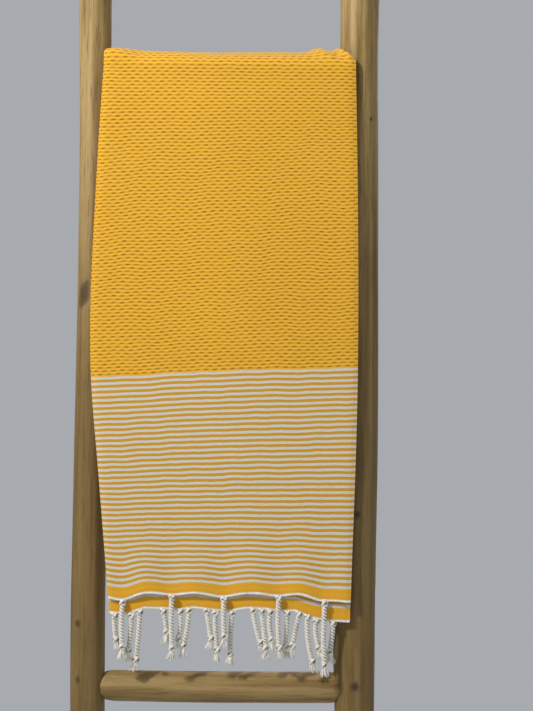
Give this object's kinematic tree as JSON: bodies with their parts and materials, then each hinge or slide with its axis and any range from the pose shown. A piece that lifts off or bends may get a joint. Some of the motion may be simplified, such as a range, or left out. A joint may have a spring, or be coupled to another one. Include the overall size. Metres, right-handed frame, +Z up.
{
  "type": "ladder towel rack",
  "caption": "Rustic branch-wood ladder that leans on a wall, with a folded yellow towel hung over its top rung, striped towards its hems and edged with knotted cotton tassels.",
  "frame": {"origin": "on the floor, under the middle of the whole object's box, with the ladder leaning as it does in use", "axes": "+Z up, +X along the rungs to the viewer's right, +Y back towards the wall"},
  "size_m": [0.3868, 0.172, 1.4964],
  "materials": {
    "teak": "bare, bark stripped and sanded, with long grain and knots",
    "peg_wood": "darker end grain",
    "towel_cloth": "honeycomb-woven cotton, with flat-woven white stripes towards the hems",
    "fringe_cotton": "twisted undyed cotton cord"
  },
  "bodies": {
    "ladder": {"left_rail": "teak", "right_rail": "teak", "rung_1": "teak", "rung_2": "teak", "rung_3": "teak", "rung_4": "teak", "rung_5": "teak", "peg_left_1": "peg_wood", "peg_left_2": "peg_wood", "peg_left_3": "peg_wood", "peg_left_4": "peg_wood", "peg_left_5": "peg_wood", "peg_right_1": "peg_wood", "peg_right_2": "peg_wood", "peg_right_3": "peg_wood", "peg_right_4": "peg_wood", "peg_right_5": "peg_wood"},
    "towel": {"towel_saddle": "towel_cloth"},
    "front_drop": {"towel_front_outer": "towel_cloth", "towel_front_inner": "towel_cloth", "outer_hem": "fringe_cotton", "inner_hem": "fringe_cotton"},
    "rear_drop": {"towel_rear_drop": "towel_cloth"},
    "tassel_01": {"tassel_01": "fringe_cotton"},
    "tassel_02": {"tassel_02": "fringe_cotton"},
    "tassel_03": {"tassel_03": "fringe_cotton"},
    "tassel_04": {"tassel_04": "fringe_cotton"},
    "tassel_05": {"tassel_05": "fringe_cotton"},
    "tassel_06": {"tassel_06": "fringe_cotton"},
    "tassel_07": {"tassel_07": "fringe_cotton"},
    "tassel_08": {"tassel_08": "fringe_cotton"},
    "tassel_09": {"tassel_09": "fringe_cotton"},
    "tassel_10": {"tassel_10": "fringe_cotton"},
    "tassel_11": {"tassel_11": "fringe_cotton"},
    "tassel_12": {"tassel_12": "fringe_cotton"},
    "tassel_13": {"tassel_13": "fringe_cotton"},
    "tassel_14": {"tassel_14": "fringe_cotton"},
    "tassel_15": {"tassel_15": "fringe_cotton"},
    "tassel_16": {"tassel_16": "fringe_cotton"},
    "tassel_17": {"tassel_17": "fringe_cotton"},
    "tassel_18": {"tassel_18": "fringe_cotton"},
    "tassel_19": {"tassel_19": "fringe_cotton"},
    "tassel_20": {"tassel_20": "fringe_cotton"},
    "tassel_21": {"tassel_21": "fringe_cotton"},
    "tassel_22": {"tassel_22": "fringe_cotton"}
  },
  "joints": [
    {"name": "towel_lift", "type": "slide", "parent": "ladder", "child": "towel", "axis": [0, 0.0872, 0.9962], "range_m": [0, 0.36]},
    {"name": "front_drop_swing", "type": "hinge", "parent": "towel", "child": "front_drop", "pos_m": [-0.00166, 0.02021, 1.2858], "axis": [-1, 0, 0], "range_deg": [0, 45]},
    {"name": "rear_drop_swing", "type": "hinge", "parent": "towel", "child": "rear_drop", "pos_m": [-0.00166, 0.07287, 1.28421], "axis": [1, 0, 0], "range_deg": [-1.5, 20]},
    {"name": "tassel_01_swing", "type": "hinge", "parent": "front_drop", "child": "tassel_01", "pos_m": [-0.13556, -0.04093, 0.61678], "axis": [-1, 0, 0], "range_deg": [-4, 40]},
    {"name": "tassel_02_swing", "type": "hinge", "parent": "front_drop", "child": "tassel_02", "pos_m": [-0.12496, -0.04306, 0.63604], "axis": [-1, 0, 0], "range_deg": [-2, 40]},
    {"name": "tassel_03_swing", "type": "hinge", "parent": "front_drop", "child": "tassel_03", "pos_m": [-0.11436, -0.04093, 0.61678], "axis": [-1, 0, 0], "range_deg": [-4, 40]},
    {"name": "tassel_04_swing", "type": "hinge", "parent": "front_drop", "child": "tassel_04", "pos_m": [-0.10376, -0.04093, 0.61678], "axis": [-1, 0, 0], "range_deg": [-4, 40]},
    {"name": "tassel_05_swing", "type": "hinge", "parent": "front_drop", "child": "tassel_05", "pos_m": [-0.07456, -0.04093, 0.61678], "axis": [-1, 0, 0], "range_deg": [-4, 40]},
    {"name": "tassel_06_swing", "type": "hinge", "parent": "front_drop", "child": "tassel_06", "pos_m": [-0.06396, -0.04306, 0.63604], "axis": [-1, 0, 0], "range_deg": [-2, 40]},
    {"name": "tassel_07_swing", "type": "hinge", "parent": "front_drop", "child": "tassel_07", "pos_m": [-0.05336, -0.04093, 0.61678], "axis": [-1, 0, 0], "range_deg": [-4, 40]},
    {"name": "tassel_08_swing", "type": "hinge", "parent": "front_drop", "child": "tassel_08", "pos_m": [-0.04276, -0.04093, 0.61678], "axis": [-1, 0, 0], "range_deg": [-4, 40]},
    {"name": "tassel_09_swing", "type": "hinge", "parent": "front_drop", "child": "tassel_09", "pos_m": [-0.02056, -0.04093, 0.61678], "axis": [-1, 0, 0], "range_deg": [-4, 40]},
    {"name": "tassel_10_swing", "type": "hinge", "parent": "front_drop", "child": "tassel_10", "pos_m": [-0.00996, -0.04093, 0.61678], "axis": [-1, 0, 0], "range_deg": [-4, 40]},
    {"name": "tassel_11_swing", "type": "hinge", "parent": "front_drop", "child": "tassel_11", "pos_m": [0.00064, -0.04306, 0.63604], "axis": [-1, 0, 0], "range_deg": [-2, 40]},
    {"name": "tassel_12_swing", "type": "hinge", "parent": "front_drop", "child": "tassel_12", "pos_m": [0.01124, -0.04093, 0.61678], "axis": [-1, 0, 0], "range_deg": [-4, 40]},
    {"name": "tassel_13_swing", "type": "hinge", "parent": "front_drop", "child": "tassel_13", "pos_m": [0.03714, -0.04093, 0.61678], "axis": [-1, 0, 0], "range_deg": [-4, 40]},
    {"name": "tassel_14_swing", "type": "hinge", "parent": "front_drop", "child": "tassel_14", "pos_m": [0.04774, -0.04093, 0.61678], "axis": [-1, 0, 0], "range_deg": [-4, 40]},
    {"name": "tassel_15_swing", "type": "hinge", "parent": "front_drop", "child": "tassel_15", "pos_m": [0.05834, -0.04093, 0.61678], "axis": [-1, 0, 0], "range_deg": [-4, 40]},
    {"name": "tassel_16_swing", "type": "hinge", "parent": "front_drop", "child": "tassel_16", "pos_m": [0.06894, -0.04306, 0.63604], "axis": [-1, 0, 0], "range_deg": [-2, 40]},
    {"name": "tassel_17_swing", "type": "hinge", "parent": "front_drop", "child": "tassel_17", "pos_m": [0.07954, -0.04093, 0.61678], "axis": [-1, 0, 0], "range_deg": [-4, 40]},
    {"name": "tassel_18_swing", "type": "hinge", "parent": "front_drop", "child": "tassel_18", "pos_m": [0.09414, -0.04093, 0.61678], "axis": [-1, 0, 0], "range_deg": [-4, 40]},
    {"name": "tassel_19_swing", "type": "hinge", "parent": "front_drop", "child": "tassel_19", "pos_m": [0.10474, -0.04093, 0.61678], "axis": [-1, 0, 0], "range_deg": [-4, 40]},
    {"name": "tassel_20_swing", "type": "hinge", "parent": "front_drop", "child": "tassel_20", "pos_m": [0.11534, -0.04093, 0.61678], "axis": [-1, 0, 0], "range_deg": [-4, 40]},
    {"name": "tassel_21_swing", "type": "hinge", "parent": "front_drop", "child": "tassel_21", "pos_m": [0.12594, -0.04306, 0.63604], "axis": [-1, 0, 0], "range_deg": [-2, 40]},
    {"name": "tassel_22_swing", "type": "hinge", "parent": "front_drop", "child": "tassel_22", "pos_m": [0.13654, -0.04093, 0.61678], "axis": [-1, 0, 0], "range_deg": [-4, 40]}
  ]
}
